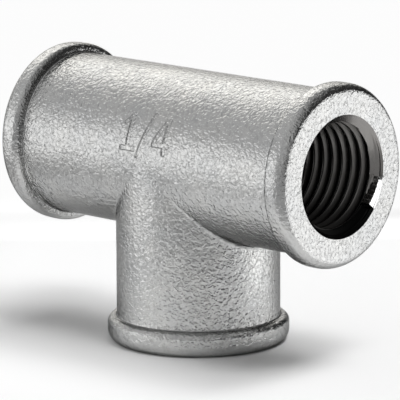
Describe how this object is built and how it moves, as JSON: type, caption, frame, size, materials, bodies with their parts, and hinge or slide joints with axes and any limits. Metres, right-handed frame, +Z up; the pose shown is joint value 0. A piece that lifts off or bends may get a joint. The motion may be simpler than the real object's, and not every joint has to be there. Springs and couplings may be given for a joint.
{
  "type": "pipe tee",
  "caption": "Small malleable iron pipe tee with beaded ends and female parallel threads, to branch a pipe line at a right angle.",
  "frame": {"origin": "centre of the branch's end face, below the crossing of the run and the branch", "axes": "+X along the run, -Z out of the branch, +Z up, so that the tee stands on its branch"},
  "size_m": [0.042, 0.0202, 0.0311],
  "materials": {
    "galvanised_iron": "as-cast skin with a bright hot-dip zinc coat, threads cut afterwards"
  },
  "bodies": {
    "root": {"tee_body": "galvanised_iron"}
  },
  "joints": []
}
